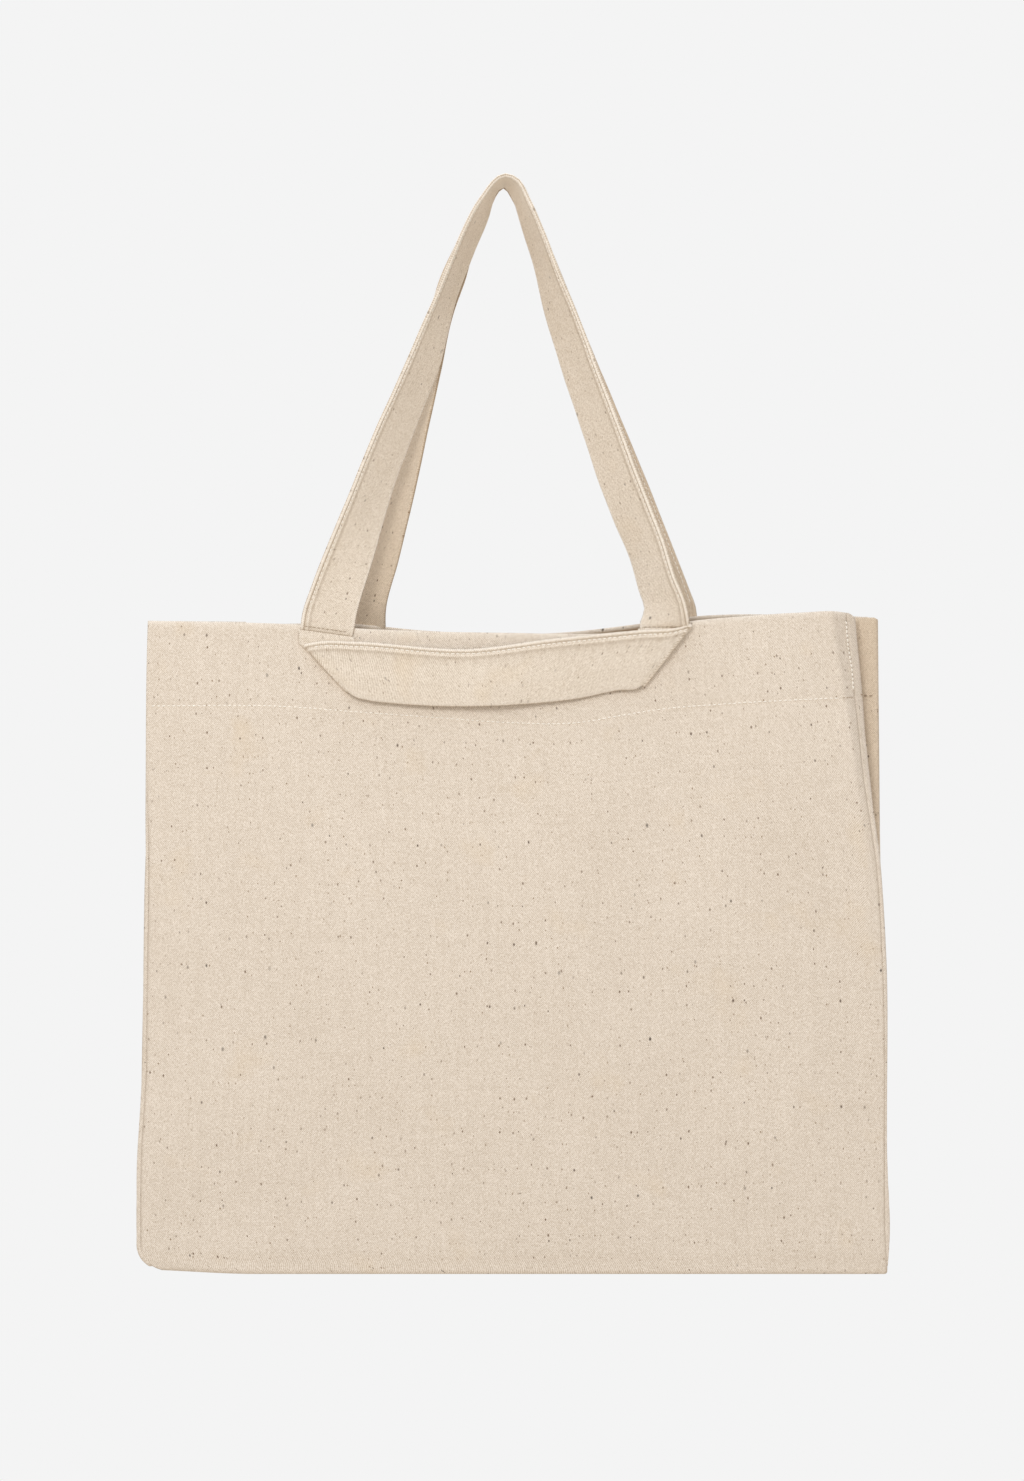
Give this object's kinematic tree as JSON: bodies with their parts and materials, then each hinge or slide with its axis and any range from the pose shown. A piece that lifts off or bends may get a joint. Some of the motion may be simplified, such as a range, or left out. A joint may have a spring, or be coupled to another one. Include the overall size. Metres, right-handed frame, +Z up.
{
  "type": "canvas tote bag",
  "caption": "Wide canvas tote bag hanging by two long handles, with a short grip handle outside each side of the hemmed mouth and folded-in side gussets.",
  "frame": {"origin": "where a hook carries the bag: the underside of the long handles' top, midway between front and back", "axes": "+Z up, -Y out of the front, +X to the right of someone who faces the front"},
  "size_m": [0.45, 0.0616, 0.6578],
  "materials": {
    "canvas": "natural unbleached cotton twill with seed flecks",
    "strap": "the same cotton twill, folded into a strap and edge stitched",
    "thread": "natural cotton sewing thread"
  },
  "bodies": {
    "front": {"front_panel": "canvas", "bottom_fold": "canvas", "front_hem": "canvas", "front_hem_stitching": "thread", "front_left_allowance": "canvas", "front_right_allowance": "canvas", "front_left_strap_end": "strap", "front_right_strap_end": "strap", "front_root_stitching": "thread"},
    "back": {"back_panel": "canvas", "back_hem": "canvas", "back_hem_stitching": "thread", "back_left_allowance": "canvas", "back_right_allowance": "canvas", "back_left_strap_end": "strap", "back_right_strap_end": "strap", "back_root_stitching": "thread"},
    "left_gusset_front": {"left_gusset_front": "canvas", "left_gusset_front_hem": "canvas", "left_gusset_front_stitching": "thread"},
    "left_gusset_back": {"left_gusset_back": "canvas", "left_gusset_back_hem": "canvas", "left_gusset_back_stitching": "thread"},
    "right_gusset_front": {"right_gusset_front": "canvas", "right_gusset_front_hem": "canvas", "right_gusset_front_stitching": "thread"},
    "right_gusset_back": {"right_gusset_back": "canvas", "right_gusset_back_hem": "canvas", "right_gusset_back_stitching": "thread"},
    "front_long_handle": {"front_long_handle": "strap", "front_long_handle_stitching": "thread"},
    "back_long_handle": {"back_long_handle": "strap", "back_long_handle_stitching": "thread"},
    "front_short_handle": {"front_short_handle": "strap", "front_short_handle_stitching": "thread"},
    "back_short_handle": {"back_short_handle": "strap", "back_short_handle_stitching": "thread"}
  },
  "joints": [
    {"name": "mouth_open", "type": "hinge", "parent": "front", "child": "back", "pos_m": [0.004, 0, -0.64538], "axis": [-1, 0, 0], "range_deg": [0, 8.5]},
    {"name": "left_gusset_front_fold", "type": "hinge", "parent": "front", "child": "left_gusset_front", "pos_m": [-0.221, -0.0015, -0.64542], "axis": [0.0154, -0.0262, 0.9995], "range_deg": [0, 31.5]},
    {"name": "left_gusset_back_fold", "type": "hinge", "parent": "back", "child": "left_gusset_back", "pos_m": [-0.221, 0.0015, -0.64542], "axis": [-0.0154, -0.0262, -0.9995], "range_deg": [0, 31.5]},
    {"name": "right_gusset_front_fold", "type": "hinge", "parent": "front", "child": "right_gusset_front", "pos_m": [0.229, -0.0015, -0.64542], "axis": [0.0154, 0.0262, -0.9995], "range_deg": [0, 31.5]},
    {"name": "right_gusset_back_fold", "type": "hinge", "parent": "back", "child": "right_gusset_back", "pos_m": [0.229, 0.0015, -0.64542], "axis": [-0.0154, 0.0262, 0.9995], "range_deg": [0, 31.5]},
    {"name": "front_long_handle_fall", "type": "hinge", "parent": "front", "child": "front_long_handle", "pos_m": [0.004, -0.01763, -0.26241], "axis": [1, 0, 0], "range_deg": [0, 85]},
    {"name": "back_long_handle_fall", "type": "hinge", "parent": "back", "child": "back_long_handle", "pos_m": [0.004, 0.01763, -0.26241], "axis": [-1, 0, 0], "range_deg": [0, 85]},
    {"name": "front_short_handle_lift", "type": "hinge", "parent": "front", "child": "front_short_handle", "pos_m": [0.004, -0.01588, -0.26837], "axis": [-1, 0, 0], "range_deg": [0, 90]},
    {"name": "back_short_handle_lift", "type": "hinge", "parent": "back", "child": "back_short_handle", "pos_m": [0.004, 0.01588, -0.26837], "axis": [1, 0, 0], "range_deg": [0, 90]}
  ],
  "couplings": [
    {"joint": "left_gusset_front_fold", "follows": "mouth_open", "ratio": 3.6992},
    {"joint": "left_gusset_back_fold", "follows": "mouth_open", "ratio": 3.6992},
    {"joint": "right_gusset_front_fold", "follows": "mouth_open", "ratio": 3.6992},
    {"joint": "right_gusset_back_fold", "follows": "mouth_open", "ratio": 3.6992}
  ]
}
